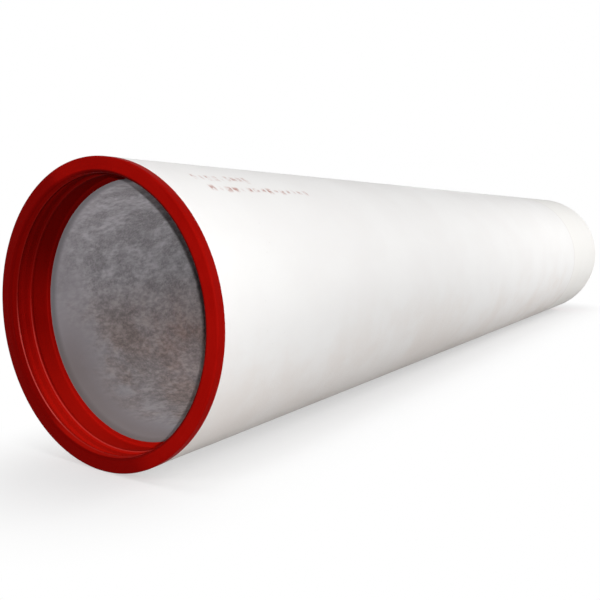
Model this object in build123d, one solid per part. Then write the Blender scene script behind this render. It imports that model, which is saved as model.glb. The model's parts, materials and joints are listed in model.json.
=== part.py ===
from build123d import *
import os

# A ductile iron pipe for jacking, lying on its side: an iron casting with a push-on socket and a plain
# spigot, a concrete jacket that brings the barrel out to the socket's diameter, and a spun cement lining.
# Millimetres. The axis runs along X, with the socket at -X, and Z is up from the floor that the pipe lies on.

# Lengths along the axis
laying_length = 6000.0        # from one socket face to the next in a finished line
engagement = 170.0            # how far a spigot goes into a socket
jacket_gap = 15.0             # left open between two jackets in a finished line

# The iron barrel and its lining
spigot_diameter = 1048.0
iron_wall = 13.5
lining_thickness = 6.0
spigot_chamfer_length = 15.0
spigot_chamfer_height = 5.0
ground_length = 150.0         # the spigot's end is ground to size over this length
ground_depth = 0.8            # the cast skin that the grinding takes off
ground_run_out = 5.0

# The socket's inside, from the mouth inwards
mouth_clearance = 7.0         # round the spigot in the mouth
mouth_round = 12.0
lip_length = 36.0
heel_depth = 18.0             # the groove that holds the gasket's hard heel
heel_width = 26.0
seat_depth = 10.0             # the seat that the gasket's soft bulb is squeezed into
seat_width = 26.0
ridge_width = 10.0            # the hump behind the gasket
chamber_depth = 8.0           # the space that lets the spigot swing
groove_slope = 3.0            # axial run of each groove wall
socket_clearance = 15.0       # from a seated spigot to the shoulder
shoulder_bevel_height = 9.5   # the lining laps up this bevel at the barrel's mouth
shoulder_bevel_length = 14.0

# The outside
socket_wall = 23.0            # iron outside the heel groove
jacket_over_socket = 18.0     # concrete over the back of the socket, and the collar's height
collar_width = 38.0           # the iron that shows in front of the jacket
collar_edge_round = 6.0
socket_back = 30.0            # from the shoulder to where the outside starts to neck down
neck_length = 85.0            # the cone from the socket down to the barrel
jacket_end_chamfer = 8.0

# Radii that follow
spigot_radius = spigot_diameter / 2
barrel_radius = spigot_radius + ground_depth
iron_bore_radius = spigot_radius - iron_wall
waterway_radius = iron_bore_radius - lining_thickness
bevel_radius = iron_bore_radius + shoulder_bevel_height
mouth_radius = spigot_radius + mouth_clearance
heel_radius = mouth_radius + heel_depth
seat_radius = mouth_radius + seat_depth
chamber_radius = mouth_radius + chamber_depth
socket_radius = heel_radius + socket_wall
outer_radius = socket_radius + jacket_over_socket

# Stations that follow, as distances from the socket face
overall_length = laying_length + engagement
jacket_end = laying_length - jacket_gap
heel_start = lip_length + groove_slope
heel_end = heel_start + heel_width
seat_start = heel_end + groove_slope
seat_end = seat_start + seat_width
ridge_start = seat_end + groove_slope
ridge_end = ridge_start + ridge_width
chamber_start = ridge_end + groove_slope
shoulder = engagement + socket_clearance
bore_start = shoulder + shoulder_bevel_length
neck_start = shoulder + socket_back
neck_end = neck_start + neck_length
chamfer_start = overall_length - spigot_chamfer_length
ground_start = chamfer_start - ground_length


def turned(profile):
    """A solid of revolution from (distance from the socket face, radius, corner round) rows."""
    points = [(distance - overall_length / 2, radius) for distance, radius, _ in profile]
    rounds = [corner for _, _, corner in profile]
    with BuildPart() as solid:
        with BuildSketch(Plane.XZ):
            with BuildLine():
                FilletPolyline(*points, radius=rounds, close=True)
            make_face()
        revolve(axis=Axis.X)
    return Pos(0, 0, outer_radius) * solid.part


# The gasket profile of the push-on socket, from the mouth to the start of the bore
socket_inside = [
    (0, mouth_radius, mouth_round),
    (lip_length, mouth_radius, 0),
    (heel_start, heel_radius, 0),
    (heel_end, heel_radius, 0),
    (seat_start, seat_radius, 0),
    (seat_end, seat_radius, 0),
    (ridge_start, mouth_radius, 0),
    (ridge_end, mouth_radius, 0),
    (chamber_start, chamber_radius, 0),
    (shoulder, chamber_radius, 0),
    (shoulder, bevel_radius, 0),
    (bore_start, iron_bore_radius, 0),
]

spigot_end = [
    (overall_length, iron_bore_radius, 0),
    (overall_length, spigot_radius - spigot_chamfer_height, 0),
    (chamfer_start, spigot_radius, 0),
    (ground_start, spigot_radius, 0),
    (ground_start - ground_run_out, barrel_radius, 0),
]

# The line where iron and concrete meet, from the barrel forward to the collar
iron_to_concrete = [
    (neck_end, barrel_radius, 0),
    (neck_start, socket_radius, 0),
    (collar_width, socket_radius, 0),
]

collar = [
    (collar_width, outer_radius, 0),
    (0, outer_radius, collar_edge_round),
]

iron_pipe = turned(socket_inside + spigot_end + iron_to_concrete + collar)

# The jacket is cast against the iron, so it takes the iron's own line
jacket_outside = [
    (collar_width, outer_radius, 0),
    (jacket_end - jacket_end_chamfer, outer_radius, 0),
    (jacket_end, outer_radius - jacket_end_chamfer, 0),
    (jacket_end, barrel_radius, 0),
]

concrete_jacket = turned(iron_to_concrete + jacket_outside)

# The lining laps up the shoulder bevel and stops flush with the spigot's end
cement_lining = turned(
    [
        (shoulder, bevel_radius, 0),
        (bore_start, iron_bore_radius, 0),
        (overall_length, iron_bore_radius, 0),
        (overall_length, waterway_radius, 0),
        (bore_start, waterway_radius, 0),
        (shoulder, bevel_radius - lining_thickness, 0),
    ]
)

os.makedirs("parts", exist_ok=True)
export_step(iron_pipe, "parts/iron_pipe.step")
export_step(concrete_jacket, "parts/concrete_jacket.step")
export_step(cement_lining, "parts/cement_lining.step")
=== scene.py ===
import json
import math
import bpy
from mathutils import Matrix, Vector


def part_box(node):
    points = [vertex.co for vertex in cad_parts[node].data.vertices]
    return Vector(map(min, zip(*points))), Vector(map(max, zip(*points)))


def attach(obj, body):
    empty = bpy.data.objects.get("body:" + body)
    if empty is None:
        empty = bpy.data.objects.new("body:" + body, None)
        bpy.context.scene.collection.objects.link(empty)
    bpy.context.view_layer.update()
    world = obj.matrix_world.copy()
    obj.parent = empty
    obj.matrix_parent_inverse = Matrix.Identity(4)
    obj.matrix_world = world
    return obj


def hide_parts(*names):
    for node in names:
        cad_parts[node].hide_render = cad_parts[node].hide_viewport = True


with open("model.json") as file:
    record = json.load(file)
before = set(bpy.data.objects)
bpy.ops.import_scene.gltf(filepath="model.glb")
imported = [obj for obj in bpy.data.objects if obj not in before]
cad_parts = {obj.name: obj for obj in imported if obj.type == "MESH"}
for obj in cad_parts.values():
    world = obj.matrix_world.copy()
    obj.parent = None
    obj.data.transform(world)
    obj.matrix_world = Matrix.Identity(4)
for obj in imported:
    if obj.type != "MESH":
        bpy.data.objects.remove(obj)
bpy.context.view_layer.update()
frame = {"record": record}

# Iron pipe: one spun ductile iron casting with a push-on socket, brush painted red.
# Its collar and socket inside show at one end, and its ground spigot at the other.
# The barrel between them is hidden in the concrete and under the lining.
mounts = {mount["name"]: mount["dims"] for mount in frame["record"]["mounts"]}
iron_low, iron_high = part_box("iron_pipe")
jacket_low, jacket_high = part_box("concrete_jacket")
lining_low, lining_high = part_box("cement_lining")

face_x = iron_low.x
spigot_x = iron_high.x
outer_radius = (iron_high.z - iron_low.z) / 2
axis_height = (iron_high.z + iron_low.z) / 2
collar_x = jacket_low.x
mouth_radius = mounts["socket_mouth"]["r_mm"] / 1000
spigot_radius = mounts["spigot"]["r_mm"] / 1000

ground_depth = 0.0008
iron_wall = 0.0135
mouth_round = 0.012
groove_wall = 0.003
heel_depth = 0.018
heel_width = 0.026
seat_depth = 0.010
seat_width = 0.026
ridge_width = 0.010
chamber_depth = 0.008
bevel_length = 0.014
chamfer_length = 0.015
chamfer_height = 0.005
ground_run_out = 0.005
socket_wall = 0.023
socket_back = 0.030
neck_length = 0.085
collar_round = 0.006
joint_round = 0.0025
fine_run = 0.02
long_run = 0.5

barrel_radius = spigot_radius + ground_depth
bore_radius = spigot_radius - iron_wall
lip_depth = mouth_round + mounts["socket_mouth"]["length_mm"] / 1000
lip_end = face_x + lip_depth
heel_radius = mouth_radius + heel_depth
heel_end = lip_end + groove_wall + heel_width
seat_radius = mouth_radius + seat_depth
seat_end = heel_end + groove_wall + seat_width
ridge_end = seat_end + groove_wall + ridge_width
chamber_radius = mouth_radius + chamber_depth
shoulder_x = lining_low.x
bevel_radius = (lining_high.z - lining_low.z) / 2
bore_x = shoulder_x + bevel_length
chamfer_x = spigot_x - chamfer_length
ground_x = chamfer_x - mounts["spigot"]["length_mm"] / 1000
socket_radius = heel_radius + socket_wall
neck_x = shoulder_x + socket_back
neck_end = neck_x + neck_length


def outline_of(corners, arc_steps=6, guard=0.003):
    """Points of a closed outline from its corners, each with its x, its radius, its rounding and how far
    apart the points on the run after it are. A corner becomes an arc, with a guard point on each side of it
    so that the flats shade flat."""
    outline = []
    for i, (x, radius, rounding, spacing) in enumerate(corners):
        corner = Vector((x, radius))
        back = Vector(corners[i - 1][:2]) - corner
        ahead = Vector(corners[(i + 1) % len(corners)][:2]) - corner
        half = back.angle(ahead) / 2
        reach = rounding / math.tan(half)
        centre = corner + (back.normalized() + ahead.normalized()).normalized() * rounding / math.sin(half)
        start = corner + back.normalized() * reach - centre
        end = corner + ahead.normalized() * reach - centre
        if back.length > 2 * (reach + guard):
            outline.append((corner + back.normalized() * (reach + guard), 1.0))
        for step in range(arc_steps):
            outline.append((centre + start.slerp(end, step / arc_steps) * rounding, 1.0))
        outline.append((centre + end, spacing))
        if ahead.length > 2 * (reach + guard):
            outline.append((corner + ahead.normalized() * (reach + guard), spacing))
    points = []
    for (here, spacing), (after, _) in zip(outline, outline[1:] + outline[:1]):
        spans = max(1, round((after - here).length / spacing))
        points += [here.lerp(after, step / spans) for step in range(spans)]
    area = sum(p.cross(q) for p, q in zip(points, points[1:] + points[:1]))
    return points[::-1] if area > 0 else points


def set_inputs(tree, node, inputs):
    """Values or links put on a node's named inputs. An underscore in a name stands for a space."""
    for name, value in inputs.items():
        socket = node.inputs[name.replace("_", " ")]
        if isinstance(value, bpy.types.NodeSocket):
            tree.links.new(value, socket)
        else:
            socket.default_value = value


def add_node(tree, kind, **inputs):
    """A new node with its named inputs set."""
    node = tree.nodes.new(kind)
    set_inputs(tree, node, inputs)
    return node


def calc(tree, operation, *values):
    """The result of a Math node on sockets or numbers."""
    node = tree.nodes.new("ShaderNodeMath")
    node.operation = operation
    for socket, value in zip(node.inputs, values):
        if isinstance(value, bpy.types.NodeSocket):
            tree.links.new(value, socket)
        else:
            socket.default_value = value
    return node.outputs[0]


def turning_tree():
    """Geometry Nodes that turn an outline in the XZ plane about the pipe's axis, a little uneven as cast.
    Only the crests of the waves reach the true surface."""
    tree = bpy.data.node_groups.new("turn_about_pipe_axis", "GeometryNodeTree")
    face = tree.interface
    face.new_socket("Outline", in_out="INPUT", socket_type="NodeSocketGeometry")
    face.new_socket("Sides", in_out="INPUT", socket_type="NodeSocketInt")
    face.new_socket("Axis height", in_out="INPUT", socket_type="NodeSocketFloat")
    face.new_socket("Unevenness", in_out="INPUT", socket_type="NodeSocketFloat")
    face.new_socket("Waves per metre", in_out="INPUT", socket_type="NodeSocketFloat")
    face.new_socket("Finish", in_out="INPUT", socket_type="NodeSocketMaterial")
    face.new_socket("Turned", in_out="OUTPUT", socket_type="NodeSocketGeometry")
    nodes, links = tree.nodes, tree.links
    given = nodes.new("NodeGroupInput")
    result = nodes.new("NodeGroupOutput")

    count = nodes.new("GeometryNodeAttributeDomainSize")
    links.new(given.outputs["Outline"], count.inputs["Geometry"])
    grid = nodes.new("GeometryNodeMeshGrid")
    links.new(calc(tree, "ADD", count.outputs["Point Count"], 1), grid.inputs["Vertices X"])
    links.new(calc(tree, "ADD", given.outputs["Sides"], 1), grid.inputs["Vertices Y"])

    place = nodes.new("GeometryNodeInputPosition")
    share = nodes.new("ShaderNodeSeparateXYZ")
    links.new(place.outputs[0], share.inputs[0])
    along = calc(tree, "MULTIPLY", calc(tree, "ADD", share.outputs["X"], 0.5), count.outputs["Point Count"])
    point = calc(tree, "MODULO", calc(tree, "ROUND", along), count.outputs["Point Count"])
    angle = calc(tree, "MULTIPLY", calc(tree, "ADD", share.outputs["Y"], 0.5), math.tau)

    sample = nodes.new("GeometryNodeSampleIndex")
    sample.data_type = "FLOAT_VECTOR"
    links.new(given.outputs["Outline"], sample.inputs["Geometry"])
    links.new(place.outputs[0], sample.inputs["Value"])
    links.new(point, sample.inputs["Index"])
    corner = nodes.new("ShaderNodeSeparateXYZ")
    links.new(sample.outputs[0], corner.inputs[0])
    turned = nodes.new("ShaderNodeCombineXYZ")
    links.new(corner.outputs["X"], turned.inputs["X"])
    links.new(calc(tree, "MULTIPLY", corner.outputs["Z"], calc(tree, "SINE", angle)), turned.inputs["Y"])
    rise = calc(tree, "MULTIPLY", corner.outputs["Z"], calc(tree, "COSINE", angle))
    links.new(calc(tree, "ADD", rise, given.outputs["Axis height"]), turned.inputs["Z"])
    shape = nodes.new("GeometryNodeSetPosition")
    links.new(grid.outputs["Mesh"], shape.inputs["Geometry"])
    links.new(turned.outputs[0], shape.inputs["Position"])
    weld = nodes.new("GeometryNodeMergeByDistance")
    weld.inputs["Distance"].default_value = 0.00002
    links.new(shape.outputs[0], weld.inputs["Geometry"])

    waves = nodes.new("ShaderNodeTexNoise")
    waves.inputs["Detail"].default_value = 3.0
    links.new(place.outputs[0], waves.inputs["Vector"])
    links.new(given.outputs["Waves per metre"], waves.inputs["Scale"])
    crest = 0.72
    below_crest = calc(tree, "SUBTRACT", waves.outputs[0], crest)
    height = calc(tree, "MULTIPLY", below_crest, given.outputs["Unevenness"])
    normal = nodes.new("GeometryNodeInputNormal")
    push = nodes.new("ShaderNodeVectorMath")
    push.operation = "SCALE"
    links.new(normal.outputs[0], push.inputs[0])
    links.new(height, push.inputs["Scale"])
    uneven = nodes.new("GeometryNodeSetPosition")
    links.new(weld.outputs[0], uneven.inputs["Geometry"])
    links.new(push.outputs[0], uneven.inputs["Offset"])

    smooth = nodes.new("GeometryNodeSetShadeSmooth")
    links.new(uneven.outputs[0], smooth.inputs["Geometry"])
    realize = nodes.new("GeometryNodeRealizeInstances")
    links.new(smooth.outputs[0], realize.inputs["Geometry"])
    coat = nodes.new("GeometryNodeSetMaterial")
    links.new(realize.outputs[0], coat.inputs["Geometry"])
    links.new(given.outputs["Finish"], coat.inputs["Material"])
    links.new(coat.outputs[0], result.inputs["Turned"])
    return tree


pipe_turning = turning_tree()


def turned_piece(name, corners, finish, unevenness, waves_per_metre, sides=224):
    """A plain closed mesh, turned about the pipe's axis from the corners of its outline."""
    points = outline_of(corners)
    outline = bpy.data.meshes.new(name + "_outline")
    outline.from_pydata([(p.x, 0, p.y) for p in points], [], [])
    piece = bpy.data.objects.new(name, outline)
    bpy.context.scene.collection.objects.link(piece)
    turning = piece.modifiers.new("turning", "NODES")
    turning.node_group = pipe_turning
    values = {
        "Sides": sides,
        "Axis height": axis_height,
        "Unevenness": unevenness,
        "Waves per metre": waves_per_metre,
        "Finish": finish,
    }
    for socket in pipe_turning.interface.items_tree:
        if socket.name in values:
            turning[socket.identifier] = values[socket.name]
    graph = bpy.context.evaluated_depsgraph_get()
    mesh = bpy.data.meshes.new_from_object(piece.evaluated_get(graph))
    piece.modifiers.remove(turning)
    piece.data = mesh
    mesh.name = name
    bpy.data.meshes.remove(outline)
    return piece


def ease(tree, value, low, high, to_low=0.0, to_high=1.0):
    """A value eased from one level to another while its input goes from low to high."""
    node = add_node(tree, "ShaderNodeMapRange", Value=value)
    node.interpolation_type = "SMOOTHSTEP"
    for name, level in (("From Min", low), ("From Max", high), ("To Min", to_low), ("To Max", to_high)):
        if isinstance(level, bpy.types.NodeSocket):
            tree.links.new(level, node.inputs[name])
        else:
            node.inputs[name].default_value = level
    return node.outputs[0]


def tint(tree, share, first, second):
    """A colour between two, each an RGB triple or a socket."""
    node = tree.nodes.new("ShaderNodeMix")
    node.data_type = "RGBA"
    for socket, value in zip((node.inputs[0], node.inputs[6], node.inputs[7]), (share, first, second)):
        if isinstance(value, bpy.types.NodeSocket):
            tree.links.new(value, socket)
        elif isinstance(value, float):
            socket.default_value = value
        else:
            socket.default_value = (*value, 1)
    return node.outputs[2]


def new_group(name, inputs, outputs):
    """An empty shader group with named sockets: its tree, its given sockets and its results."""
    tree = bpy.data.node_groups.new(name, "ShaderNodeTree")
    for socket, kind in inputs.items():
        tree.interface.new_socket(socket, in_out="INPUT", socket_type="NodeSocket" + kind)
    for socket, kind in outputs.items():
        tree.interface.new_socket(socket, in_out="OUTPUT", socket_type="NodeSocket" + kind)
    return tree, tree.nodes.new("NodeGroupInput").outputs, tree.nodes.new("NodeGroupOutput").inputs


def place_group(tree, group, **inputs):
    """A shader group placed in a tree, with its named inputs set: its outputs."""
    node = tree.nodes.new("ShaderNodeGroup")
    node.node_tree = group
    set_inputs(tree, node, inputs)
    return node.outputs


def new_finish(name):
    """A material with a Principled shader: the material, its tree, the shader and the Object coordinates."""
    material = bpy.data.materials.new(name)
    material.use_nodes = True
    tree = material.node_tree
    place = tree.nodes.new("ShaderNodeTexCoord")
    return material, tree, tree.nodes["Principled BSDF"].inputs, place.outputs["Object"]


def round_axis_group():
    """Where a point lies on the pipe: its distance from the face, its radius, the way it points from the
    axis, and its angle in degrees from the top towards -Y."""
    tree, given, result = new_group(
        "place_round_axis",
        {"Point": "Vector", "Face at": "Float", "Axis height": "Float"},
        {"Depth": "Float", "Radius": "Float", "Way": "Vector", "Angle": "Float", "Rise": "Float"},
    )
    parts = add_node(tree, "ShaderNodeSeparateXYZ", Vector=given["Point"]).outputs
    tree.links.new(calc(tree, "SUBTRACT", parts["X"], given["Face at"]), result["Depth"])
    lift = calc(tree, "SUBTRACT", parts["Z"], given["Axis height"])
    spoke = add_node(tree, "ShaderNodeCombineXYZ", Y=parts["Y"], Z=lift).outputs[0]
    length = tree.nodes.new("ShaderNodeVectorMath")
    length.operation = "LENGTH"
    tree.links.new(spoke, length.inputs[0])
    way = tree.nodes.new("ShaderNodeVectorMath")
    way.operation = "NORMALIZE"
    tree.links.new(spoke, way.inputs[0])
    tree.links.new(length.outputs["Value"], result["Radius"])
    tree.links.new(way.outputs[0], result["Way"])
    turn = calc(tree, "ARCTAN2", calc(tree, "MULTIPLY", parts["Y"], -1.0), lift)
    tree.links.new(calc(tree, "DEGREES", turn), result["Angle"])
    tree.links.new(calc(tree, "DIVIDE", lift, length.outputs["Value"]), result["Rise"])
    return tree


def mottle_group():
    """Slow patches and fine grains in a coat, each from 0 to 1."""
    tree, given, result = new_group(
        "coat_mottle",
        {"Point": "Vector", "Patches per metre": "Float", "Grains per metre": "Float"},
        {"Patches": "Float", "Grains": "Float"},
    )
    for name, detail in (("Patches", 5.0), ("Grains", 3.0)):
        noise = add_node(tree, "ShaderNodeTexNoise", Vector=given["Point"], Scale=given[name + " per metre"])
        noise.inputs["Detail"].default_value = detail
        noise.inputs["Roughness"].default_value = 0.6
        tree.links.new(ease(tree, noise.outputs[0], 0.3, 0.7), result[name])
    return tree


round_axis = round_axis_group()
coat_mottle = mottle_group()


def red_paint():
    """Deep red enamel, brushed round the socket: painted shade in grooves, painted highlights on edges."""
    material, tree, shader, point = new_finish("red_enamel_on_iron")
    place = place_group(tree, round_axis, Point=point, Face_at=face_x, Axis_height=axis_height)
    mottle = place_group(tree, coat_mottle, Point=point, Patches_per_metre=5.0, Grains_per_metre=240.0)
    spread = tree.nodes.new("ShaderNodeVectorMath")
    spread.operation = "SCALE"
    spread.inputs["Scale"].default_value = 3.0
    tree.links.new(place["Way"], spread.inputs[0])
    across = calc(tree, "ADD", place["Depth"], place["Radius"])
    stroke = add_node(tree, "ShaderNodeTexNoise", Vector=spread.outputs[0])
    stroke.noise_dimensions = "4D"
    stroke.inputs["Scale"].default_value = 1.0
    stroke.inputs["Detail"].default_value = 3.0
    tree.links.new(calc(tree, "MULTIPLY", across, 170.0), stroke.inputs["W"])
    brushed = ease(tree, stroke.outputs[0], 0.3, 0.7)

    coat = tint(tree, mottle["Patches"], (0.270, 0.0023, 0.0012), (0.316, 0.0035, 0.0019))
    coat = tint(tree, calc(tree, "MULTIPLY", brushed, 0.3), coat, (0.345, 0.0043, 0.0023))

    # Painted shade: the face and lip are darker on the +Y side and towards the bottom, where less light
    # falls.
    parts = add_node(tree, "ShaderNodeSeparateXYZ", Vector=place["Way"]).outputs
    # The painted shade is left out low on the lip and inside the socket, and is weaker on the lip.
    inside = ease(tree, place["Depth"], lip_depth, lip_depth + 0.006)
    leaning = calc(tree, "SUBTRACT", parts["Y"], calc(tree, "MULTIPLY", place["Rise"], 0.465))
    painted_shade_side = calc(tree, "ADD", leaning, ease(tree, mottle["Patches"], 0.0, 1.0, -0.06, 0.06))
    on_lip = ease(tree, place["Depth"], mouth_round * 0.4, mouth_round * 1.2)
    lip_bottom_and_inside = calc(tree, "MULTIPLY", on_lip, ease(tree, place["Rise"], -0.78, -0.95))
    lip_bottom_and_inside = calc(tree, "MAXIMUM", lip_bottom_and_inside, inside)
    painted_shade_side = calc(tree, "MULTIPLY", ease(tree, painted_shade_side, -0.12, 0.12), calc(tree, "SUBTRACT", 1.0, lip_bottom_and_inside))
    kept_red = calc(tree, "MULTIPLY", on_lip, ease(tree, place["Rise"], -0.6, 0.0, 0.35, 0.7))
    painted_shade_side = calc(tree, "MULTIPLY", painted_shade_side, calc(tree, "SUBTRACT", 1.0, kept_red))
    coat = tint(tree, calc(tree, "MULTIPLY", painted_shade_side, 0.85), coat, (0.195, 0.0017, 0.001))
    # Painted shade on the mouth's round, deepest on its -Y and upper side, where it turns from the light.
    turn = calc(tree, "ADD", place["Depth"], calc(tree, "SUBTRACT", place["Radius"], mouth_radius))
    painted_shade_round = ease(tree, turn, mouth_round * 0.58, mouth_round * 1.1, 0.6, 0.0)
    coat = tint(tree, painted_shade_round, coat, (0.13, 0.0012, 0.0008))
    painted_shadow_edge = calc(tree, "MULTIPLY", painted_shade_round, ease(tree, leaning, -0.1, -0.6, 0.0, 1.2))
    coat = tint(tree, painted_shadow_edge, coat, (0.05, 0.0006, 0.0005))

    behind_ridge = ridge_end + groove_wall - face_x
    # Painted light: the socket's inside and the lip's bottom are paler low down, where light from above
    # falls.
    painted_light_low = calc(tree, "MULTIPLY", lip_bottom_and_inside, ease(tree, place["Rise"], -0.1, -0.95, 0.0, 0.9))
    coat = tint(tree, painted_light_low, coat, (0.52, 0.0080, 0.0039))
    # Painted shade: the socket's inside is darker high up, where its surfaces face down.
    painted_shade_high = calc(tree, "MULTIPLY", inside, ease(tree, place["Rise"], -0.1, 0.6))
    coat = tint(tree, calc(tree, "MULTIPLY", painted_shade_high, 0.85), coat, (0.125, 0.0016, 0.001))
    # Painted shade in the corner at the ridge's foot.
    from_foot = calc(tree, "ABSOLUTE", calc(tree, "SUBTRACT", place["Depth"], behind_ridge))
    coat = tint(tree, ease(tree, from_foot, 0.002, 0.008, 0.45, 0.0), coat, (0.15, 0.0014, 0.001))

    # Painted highlights: thin pale lines along the lip's rear edge and the ridge, stronger low down.
    proud = ease(tree, place["Radius"], mouth_radius + 0.002, mouth_radius + 0.004, 1.0, 0.0)
    lip_line = calc(tree, "ABSOLUTE", calc(tree, "SUBTRACT", place["Depth"], lip_depth - 0.0025))
    lip_line = ease(tree, lip_line, 0.003, 0.006, 1.0, 0.0)
    lip_line = calc(tree, "MULTIPLY", lip_line, ease(tree, place["Rise"], -0.97, -0.8, 0.3, 1.0))
    ridge_depth = seat_end + groove_wall - face_x
    ridge_line = calc(tree, "ABSOLUTE", calc(tree, "SUBTRACT", place["Depth"], ridge_depth))
    ridge_line = ease(tree, ridge_line, 0.0015, 0.0045, 0.5, 0.0)
    painted_highlight = calc(tree, "MULTIPLY", calc(tree, "MAXIMUM", lip_line, ridge_line), proud)
    painted_highlight = calc(tree, "MULTIPLY", painted_highlight, ease(tree, place["Rise"], 0.15, -0.3, 0.1, 1.0))
    painted_highlight = calc(tree, "MULTIPLY", painted_highlight, ease(tree, mottle["Patches"], 0.1, 0.6, 0.7, 1.0))
    coat = tint(tree, painted_highlight, coat, (0.72, 0.075, 0.064))
    tree.links.new(coat, shader["Base Color"])

    tree.links.new(ease(tree, mottle["Patches"], 0.0, 1.0, 0.36, 0.48), shader["Roughness"])
    strokes = add_node(tree, "ShaderNodeBump", Height=brushed, Strength=0.25, Distance=0.0006)
    skin = add_node(tree, "ShaderNodeBump", Height=mottle["Grains"], Strength=0.12, Distance=0.0005)
    tree.links.new(strokes.outputs[0], skin.inputs["Normal"])
    tree.links.new(skin.outputs[0], shader["Normal"])
    shader["Specular IOR Level"].default_value = 0.006
    return material


iron_corners = [
    (face_x, mouth_radius, mouth_round, fine_run),
    (lip_end, mouth_radius, 0.002, fine_run),
    (lip_end + groove_wall, heel_radius, 0.003, fine_run),
    (heel_end, heel_radius, 0.003, fine_run),
    (heel_end + groove_wall, seat_radius, 0.002, fine_run),
    (seat_end, seat_radius, 0.002, fine_run),
    (seat_end + groove_wall, mouth_radius, 0.003, fine_run),
    (ridge_end, mouth_radius, 0.003, fine_run),
    (ridge_end + groove_wall, chamber_radius, 0.002, fine_run),
    (shoulder_x, chamber_radius, 0.007, fine_run),
    (shoulder_x, bevel_radius, 0.001, fine_run),
    (bore_x, bore_radius, 0.004, long_run),
    (spigot_x, bore_radius, 0.001, fine_run),
    (spigot_x, spigot_radius - chamfer_height, 0.003, fine_run),
    (chamfer_x, spigot_radius, 0.005, 0.05),
    (ground_x, spigot_radius, 0.001, 0.05),
    (ground_x - ground_run_out, barrel_radius, 0.001, long_run),
    (neck_end, barrel_radius, 0.03, long_run),
    (neck_x, socket_radius, 0.03, 0.1),
    (collar_x, socket_radius, 0.001, fine_run),
    (collar_x, outer_radius, joint_round, fine_run),
    (face_x, outer_radius, collar_round, fine_run),
]
iron_pipe = turned_piece("iron_pipe_painted", iron_corners, red_paint(), unevenness=0.0006,
                         waves_per_metre=11.0)
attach(iron_pipe, "root")
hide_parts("iron_pipe")

# Concrete jacket: cast in a mould round the barrel, out to the collar's diameter, then painted white.
# The paint has slow warm patches, pinholes of the concrete, a darker, warmer tone towards
# the bottom, a lap near the far end, and two worn rows of plain red dabs near the socket.
jacket_end = jacket_high.x
end_chamfer = 0.008
lap_depth = 5.055
lap_blend = 0.005


def pit_group():
    """Small round pits scattered over a surface, 1 in the middle of a pit."""
    tree, given, result = new_group(
        "scattered_pits",
        {"Point": "Vector", "Pits per metre": "Float", "Width": "Float", "Share": "Float"},
        {"Pit": "Float"},
    )
    cells = add_node(tree, "ShaderNodeTexVoronoi", Vector=given["Point"], Scale=given["Pits per metre"])
    chance = add_node(tree, "ShaderNodeSeparateColor", Color=cells.outputs["Color"]).outputs["Red"]
    kept = calc(tree, "LESS_THAN", chance, given["Share"])
    round_pit = ease(tree, cells.outputs["Distance"], given["Width"], 0.0)
    tree.links.new(calc(tree, "MULTIPLY", kept, round_pit), result["Pit"])
    return tree


def dab_row_group():
    """A row of worn dabs of paint along the pipe, with its ends, its angles and its pitch.
    Each dab has its own width, height and strength."""
    tree, given, result = new_group(
        "row_of_dabs",
        {"Depth": "Float", "Angle": "Float", "From": "Float", "To": "Float", "Low": "Float", "High": "Float",
         "Pitch": "Float"},
        {"Paint": "Float"},
    )
    run = calc(tree, "DIVIDE", calc(tree, "SUBTRACT", given["Depth"], given["From"]), given["Pitch"])
    chance = tree.nodes.new("ShaderNodeTexWhiteNoise")
    chance.noise_dimensions = "1D"
    tree.links.new(calc(tree, "FLOOR", run), chance.inputs["W"])
    dab = add_node(tree, "ShaderNodeSeparateColor", Color=chance.outputs["Color"]).outputs
    height = calc(tree, "SUBTRACT", given["High"], given["Low"])
    climb = calc(tree, "DIVIDE", calc(tree, "SUBTRACT", given["Angle"], given["Low"]), height)
    width = ease(tree, dab["Red"], 0.0, 1.0, 0.35, 0.8)
    from_middle = calc(tree, "ABSOLUTE", calc(tree, "SUBTRACT", calc(tree, "FRACT", run), 0.5))
    inset = calc(tree, "SUBTRACT", calc(tree, "MULTIPLY", width, 0.5), from_middle)
    in_width = ease(tree, inset, -0.12, 0.12)
    foot = ease(tree, climb, calc(tree, "MULTIPLY", dab["Green"], 0.4), 0.55)
    top = ease(tree, climb, 0.5, ease(tree, dab["Blue"], 0.0, 1.0, 0.75, 1.0), 1.0, 0.0)
    in_height = calc(tree, "MULTIPLY", foot, top)
    started = calc(tree, "GREATER_THAN", given["Depth"], given["From"])
    ended = calc(tree, "LESS_THAN", given["Depth"], given["To"])
    paint = ease(tree, chance.outputs["Value"], 0.1, 0.7, 0.5, 1.0)
    for part in (in_width, in_height, started, ended):
        paint = calc(tree, "MULTIPLY", paint, part)
    tree.links.new(paint, result["Paint"])
    return tree


scattered_pits = pit_group()
row_of_dabs = dab_row_group()


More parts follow.
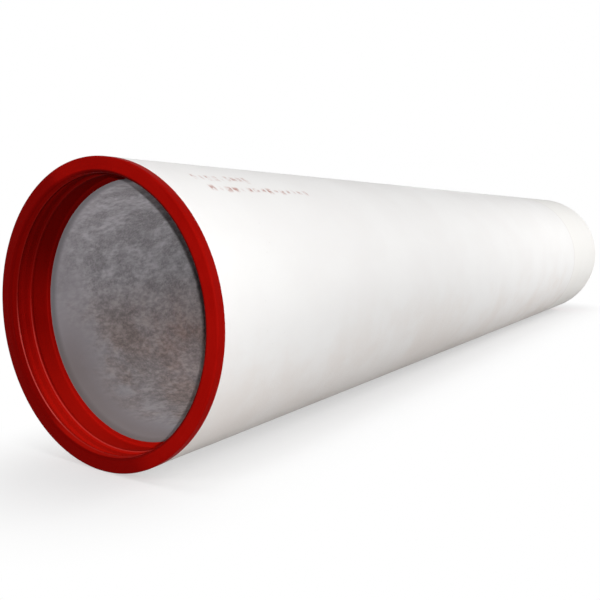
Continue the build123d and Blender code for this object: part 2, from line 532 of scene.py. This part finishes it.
def white_paint():
    """White masonry paint over cast concrete."""
    material, tree, shader, point = new_finish("white_paint_on_concrete")
    place = place_group(tree, round_axis, Point=point, Face_at=face_x, Axis_height=axis_height)
    mottle = place_group(tree, coat_mottle, Point=point, Patches_per_metre=2.6, Grains_per_metre=130.0)
    coat = tint(tree, mottle["Patches"], (0.862, 0.848, 0.838), (0.878, 0.869, 0.860))

    # Darker and warmer towards the bottom.
    towards_bottom = calc(tree, "ADD", place["Rise"], ease(tree, mottle["Patches"], 0.0, 1.0, -0.15, 0.15))
    coat = tint(tree, ease(tree, towards_bottom, 0.0, -0.85, 0.0, 0.9), coat, (0.815, 0.76, 0.722))

    lap = calc(tree, "ADD", place["Depth"], calc(tree, "MULTIPLY", mottle["Patches"], 0.03))
    second_coat = ease(tree, lap, lap_depth - lap_blend, lap_depth + lap_blend, 0.0, 0.7)
    coat = tint(tree, second_coat, coat, (0.875, 0.86, 0.83))
    from_lap = calc(tree, "ABSOLUTE", calc(tree, "SUBTRACT", lap, lap_depth))
    coat = tint(tree, ease(tree, from_lap, 0.006, 0.02, 0.35, 0.0), coat, (0.70, 0.66, 0.63))

    at = {"Depth": place["Depth"], "Angle": place["Angle"]}
    first_row = place_group(tree, row_of_dabs, **at, From=0.22, To=0.57, Low=24.2, High=32.0, Pitch=0.038)
    second_row = place_group(tree, row_of_dabs, **at, From=0.245, To=0.90, Low=32.6, High=39.0, Pitch=0.044)
    flakes = place_group(tree, coat_mottle, Point=point, Patches_per_metre=34.0, Grains_per_metre=90.0)
    worn = calc(tree, "MULTIPLY", ease(tree, flakes["Patches"], 0.2, 0.8, 0.1, 1.0), 0.85)
    dabs = calc(tree, "MULTIPLY", calc(tree, "MAXIMUM", first_row["Paint"], second_row["Paint"]), worn)
    coat = tint(tree, dabs, coat, (0.38, 0.11, 0.07))

    pits = place_group(tree, scattered_pits, Point=point, Pits_per_metre=28.0, Width=0.10, Share=0.3)
    coat = tint(tree, calc(tree, "MULTIPLY", pits["Pit"], 0.35), coat, (0.55, 0.52, 0.49))
    tree.links.new(coat, shader["Base Color"])
    tree.links.new(ease(tree, mottle["Patches"], 0.0, 1.0, 0.68, 0.56), shader["Roughness"])
    skin = add_node(tree, "ShaderNodeBump", Height=mottle["Grains"], Strength=0.2, Distance=0.0008)
    holes = add_node(tree, "ShaderNodeBump", Height=pits["Pit"], Strength=0.6, Distance=0.0015)
    holes.invert = True
    tree.links.new(skin.outputs[0], holes.inputs["Normal"])
    tree.links.new(holes.outputs[0], shader["Normal"])
    shader["Specular IOR Level"].default_value = 0.25
    return material


jacket_corners = [
    (neck_end, barrel_radius, 0.03, 0.1),
    (neck_x, socket_radius, 0.03, 0.1),
    (collar_x, socket_radius, 0.003, fine_run),
    (collar_x, outer_radius, joint_round, 0.06),
    (jacket_end - end_chamfer, outer_radius, 0.006, fine_run),
    (jacket_end, outer_radius - end_chamfer, 0.006, fine_run),
    (jacket_end, barrel_radius, 0.003, long_run),
]
jacket = turned_piece("concrete_jacket_painted", jacket_corners, white_paint(), unevenness=0.0030,
                      waves_per_metre=2.6)
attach(jacket, "root")
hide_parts("concrete_jacket")

# Cement lining: mortar thrown into the spinning barrel, so it is a thin even skin on the bore.
# Both ends are trowelled smooth, and one laps up the shoulder's bevel. Between them it is left rough,
# with an even pebbled grain, and brown water stains towards the bottom.
waterway_radius = mounts["waterway"]["r_mm"] / 1000
lining_thickness = bore_radius - waterway_radius


def mortar():
    """Grey spun mortar, which scatters light as a rough surface does."""
    material, tree, shader, point = new_finish("spun_cement_mortar")
    place = place_group(tree, round_axis, Point=point, Face_at=face_x, Axis_height=axis_height)
    drawn = add_node(tree, "ShaderNodeMapping", Vector=point, Scale=(0.6, 1.0, 1.0)).outputs[0]
    pebbles = place_group(tree, coat_mottle, Point=drawn, Patches_per_metre=11.0, Grains_per_metre=55.0)
    sand = place_group(tree, coat_mottle, Point=point, Patches_per_metre=4.5, Grains_per_metre=110.0)

    edge = calc(tree, "ADD", place["Depth"], ease(tree, sand["Patches"], 0.0, 1.0, -0.05, 0.05))
    edge = calc(tree, "ADD", edge, ease(tree, pebbles["Patches"], 0.0, 1.0, -0.02, 0.02))
    edge = calc(tree, "ADD", edge, ease(tree, place["Rise"], -0.7, 0.7, -0.07, 0.14))
    from_spigot = calc(tree, "SUBTRACT", spigot_x - face_x, place["Depth"])
    uneven = ease(tree, pebbles["Patches"], 0.0, 1.0, 0.12, 0.2)
    edge = calc(tree, "MINIMUM", edge, calc(tree, "ADD", from_spigot, uneven))
    rough = ease(tree, edge, 0.18, 0.5)
    smooth_coat = tint(tree, sand["Patches"], (0.349, 0.329, 0.351), (0.374, 0.354, 0.377))
    rough_coat = tint(tree, pebbles["Grains"], (0.345, 0.333, 0.352), (0.525, 0.507, 0.537))
    blotch = ease(tree, pebbles["Patches"], 0.25, 0.9, 0.0, 0.45)
    rough_coat = tint(tree, blotch, rough_coat, (0.288, 0.278, 0.290))
    # Painted light: deeper in the bore the rough mortar is paler, where less light reaches.
    painted_light_coat = tint(tree, pebbles["Grains"], (0.440, 0.427, 0.450), (0.600, 0.583, 0.614))
    painted_light_deep = ease(tree, place["Depth"], 0.6, 1.3, 0.0, 0.6)
    rough_coat = tint(tree, painted_light_deep, rough_coat, painted_light_coat)
    coat = tint(tree, rough, smooth_coat, rough_coat)

    low_down = ease(tree, place["Rise"], 0.3, -0.45)
    damp = calc(tree, "MULTIPLY", low_down, ease(tree, sand["Patches"], 0.1, 0.9, 0.6, 1.0))
    damp = calc(tree, "MULTIPLY", damp, rough)
    # Painted light: the stains are paler deeper in too.
    near_stain = tint(tree, pebbles["Grains"], (0.205, 0.160, 0.147), (0.375, 0.298, 0.274))
    painted_light_stain = tint(tree, pebbles["Grains"], (0.272, 0.192, 0.170), (0.495, 0.349, 0.310))
    stained = tint(tree, ease(tree, place["Depth"], 0.5, 1.0), near_stain, painted_light_stain)
    coat = tint(tree, calc(tree, "MULTIPLY", damp, 0.85), coat, stained)

    specks = calc(tree, "MULTIPLY", sand["Grains"], ease(tree, pebbles["Patches"], 0.2, 0.8, 0.0, 0.5))
    coat = tint(tree, calc(tree, "MULTIPLY", specks, rough), coat, (0.160, 0.146, 0.150))

    # Painted shade: the lap on the shoulder's bevel is darker, as the bevel faces the light.
    lap = ease(tree, place["Depth"], 0.190, 0.214, 0.95, 0.0)
    coat = tint(tree, lap, coat, (0.210, 0.199, 0.212))
    under = ease(tree, place["Depth"], 0.22, 0.42, 1.0, 0.0)
    under = calc(tree, "MULTIPLY", under, ease(tree, place["Rise"], 0.0, -0.6))
    coat = tint(tree, calc(tree, "MULTIPLY", under, 0.6), coat, (0.190, 0.148, 0.138))
    tree.links.new(coat, shader["Base Color"])

    rough_grain = calc(tree, "MULTIPLY", pebbles["Grains"], ease(tree, rough, 0.0, 1.0, 0.1, 1.0))
    grain = add_node(tree, "ShaderNodeBump", Height=rough_grain, Strength=0.5, Distance=0.003)
    skin = add_node(tree, "ShaderNodeBump", Height=sand["Grains"], Strength=0.15, Distance=0.0006)
    tree.links.new(grain.outputs[0], skin.inputs["Normal"])
    tree.links.new(skin.outputs[0], shader["Normal"])
    tree.links.new(ease(tree, rough, 0.0, 1.0, 0.7, 0.88), shader["Roughness"])
    shader["Specular IOR Level"].default_value = 0.15
    shader["Diffuse Roughness"].default_value = 1.0
    return material


lining_corners = [
    (shoulder_x, bevel_radius, 0.0012, fine_run),
    (bore_x, bore_radius, 0.004, long_run),
    (spigot_x, bore_radius, 0.0012, fine_run),
    (spigot_x, waterway_radius, 0.002, 0.06),
    (bore_x, waterway_radius, 0.036, fine_run),
    (shoulder_x, bevel_radius - lining_thickness, 0.002, fine_run),
]
lining = turned_piece("cement_lining_spun", lining_corners, mortar(), unevenness=0.0012, waves_per_metre=6.0)
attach(lining, "root")
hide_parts("cement_lining")

# Stage: a white floor that keeps the pipe's shadow close to it, and white surroundings.
# A small lamp by the camera lights the mouth, with two soft ones high up in front of it.
# Long soft lamps above the side, low at the side and low behind light the jacket, and one lights the spigot.


def floor_finish():
    """White to the camera and in reflections, with the shadow near the pipe. Grey for other light."""
    material, tree, shader, point = new_finish("studio_floor")
    shader["Roughness"].default_value = 1.0
    shader["Specular IOR Level"].default_value = 0.0
    path = tree.nodes.new("ShaderNodeLightPath").outputs
    tone = tint(tree, path["Is Camera Ray"], (0.5, 0.5, 0.5), (0.9, 0.9, 0.9))
    tree.links.new(tone, shader["Base Color"])
    parts = add_node(tree, "ShaderNodeSeparateXYZ", Vector=point).outputs
    past_end = calc(tree, "SUBTRACT", calc(tree, "ABSOLUTE", parts["X"]), spigot_x)
    past_end = calc(tree, "MAXIMUM", past_end, 0.0)
    aside = add_node(tree, "ShaderNodeCombineXYZ", X=past_end, Y=parts["Y"]).outputs[0]
    reach = tree.nodes.new("ShaderNodeVectorMath")
    reach.operation = "LENGTH"
    tree.links.new(aside, reach.inputs[0])
    white = ease(tree, reach.outputs["Value"], 0.1, 0.8, 0.45, 1.0)
    seen = calc(tree, "MAXIMUM", path["Is Camera Ray"], path["Is Glossy Ray"])
    seen = calc(tree, "MAXIMUM", seen, path["Is Transmission Ray"])
    glow = add_node(tree, "ShaderNodeEmission", Color=(1, 1, 1, 1), Strength=1.0)
    mixed = add_node(tree, "ShaderNodeMixShader", Fac=calc(tree, "MULTIPLY", white, seen))
    tree.links.new(tree.nodes["Principled BSDF"].outputs[0], mixed.inputs[1])
    tree.links.new(glow.outputs[0], mixed.inputs[2])
    tree.links.new(mixed.outputs[0], tree.nodes["Material Output"].inputs["Surface"])
    return material


floor_half = 60.0
floor_mesh = bpy.data.meshes.new("floor")
floor_edge = [(-floor_half, -floor_half, 0), (floor_half, -floor_half, 0), (floor_half, floor_half, 0),
              (-floor_half, floor_half, 0)]
floor_mesh.from_pydata(floor_edge, [], [(0, 1, 2, 3)])
floor_mesh.materials.append(floor_finish())
floor = bpy.data.objects.new("floor", floor_mesh)
bpy.context.scene.collection.objects.link(floor)

world = bpy.data.worlds.new("white_surroundings")
bpy.context.scene.world = world
world.use_nodes = True
sky = world.node_tree
dim = sky.nodes["Background"]
dim.inputs["Color"].default_value = (1, 1, 1, 1)
dim.inputs["Strength"].default_value = 0.18
white = add_node(sky, "ShaderNodeBackground", Color=(1, 1, 1, 1), Strength=1.0)
rays = sky.nodes.new("ShaderNodeLightPath").outputs
seen = calc(sky, "MAXIMUM", rays["Is Camera Ray"], rays["Is Glossy Ray"])
seen = calc(sky, "MAXIMUM", seen, rays["Is Transmission Ray"])
around = add_node(sky, "ShaderNodeMixShader", Fac=seen)
sky.links.new(dim.outputs[0], around.inputs[1])
sky.links.new(white.outputs[0], around.inputs[2])
sky.links.new(around.outputs[0], sky.nodes["World Output"].inputs["Surface"])

socket_centre = Vector((face_x, 0, axis_height))


def soft_lamp(name, offset, aim, width, height, power):
    """A soft lamp, placed and aimed by offsets from the middle of the socket's face."""
    light = bpy.data.lights.new(name, "AREA")
    light.shape = "RECTANGLE"
    light.size = width
    light.size_y = height
    light.energy = power
    lamp = bpy.data.objects.new(name, light)
    lamp.location = socket_centre + Vector(offset)
    lamp.rotation_euler = (Vector(aim) - Vector(offset)).to_track_quat("-Z", "Y").to_euler()
    lamp.visible_camera = False
    bpy.context.scene.collection.objects.link(lamp)


soft_lamp("mouth_lamp", (-2.43, -2.75, 0.52), (0, 0, 0), 0.04, 0.04, 74)
soft_lamp("high_lamp", (-0.6, -1.2, 5.0), (0, 0, 0), 1.6, 1.6, 71)
soft_lamp("front_lamp", (-4.75, -0.65, 3.9), (0, 0, 0), 2.0, 2.0, 76)
soft_lamp("side_lamp", (5.55, -4.8, 3.2), (5.7, 0, 0), 4.0, 2.4, 150)
soft_lamp("low_lamp", (4.6, -6.0, 1.2), (4.6, 0, 0), 5.0, 1.6, 114)
soft_lamp("back_lamp", (3.0, 6.0, 0.4), (3.0, 0, 0), 6.5, 1.6, 200)
soft_lamp("spigot_lamp", (9.4, 2.4, 1.1), (6.2, 0, 0), 1.6, 1.6, 90)

# Camera: in front of the socket and to its side, a little above the axis, looking slightly down.
camera_offset = Vector((-1.6934, -2.0440, 0.3514))
camera_yaw = math.radians(33.82)
camera_pitch = math.radians(-6.424)
lens = bpy.data.cameras.new("camera")
lens.sensor_width = 36.0
lens.lens = 41.54
camera = bpy.data.objects.new("camera", lens)
camera.location = socket_centre + camera_offset
camera.rotation_euler = (math.pi / 2 + camera_pitch, 0, camera_yaw - math.pi / 2)
bpy.context.scene.collection.objects.link(camera)
bpy.context.scene.camera = camera
bpy.context.scene.view_settings.view_transform = "Standard"
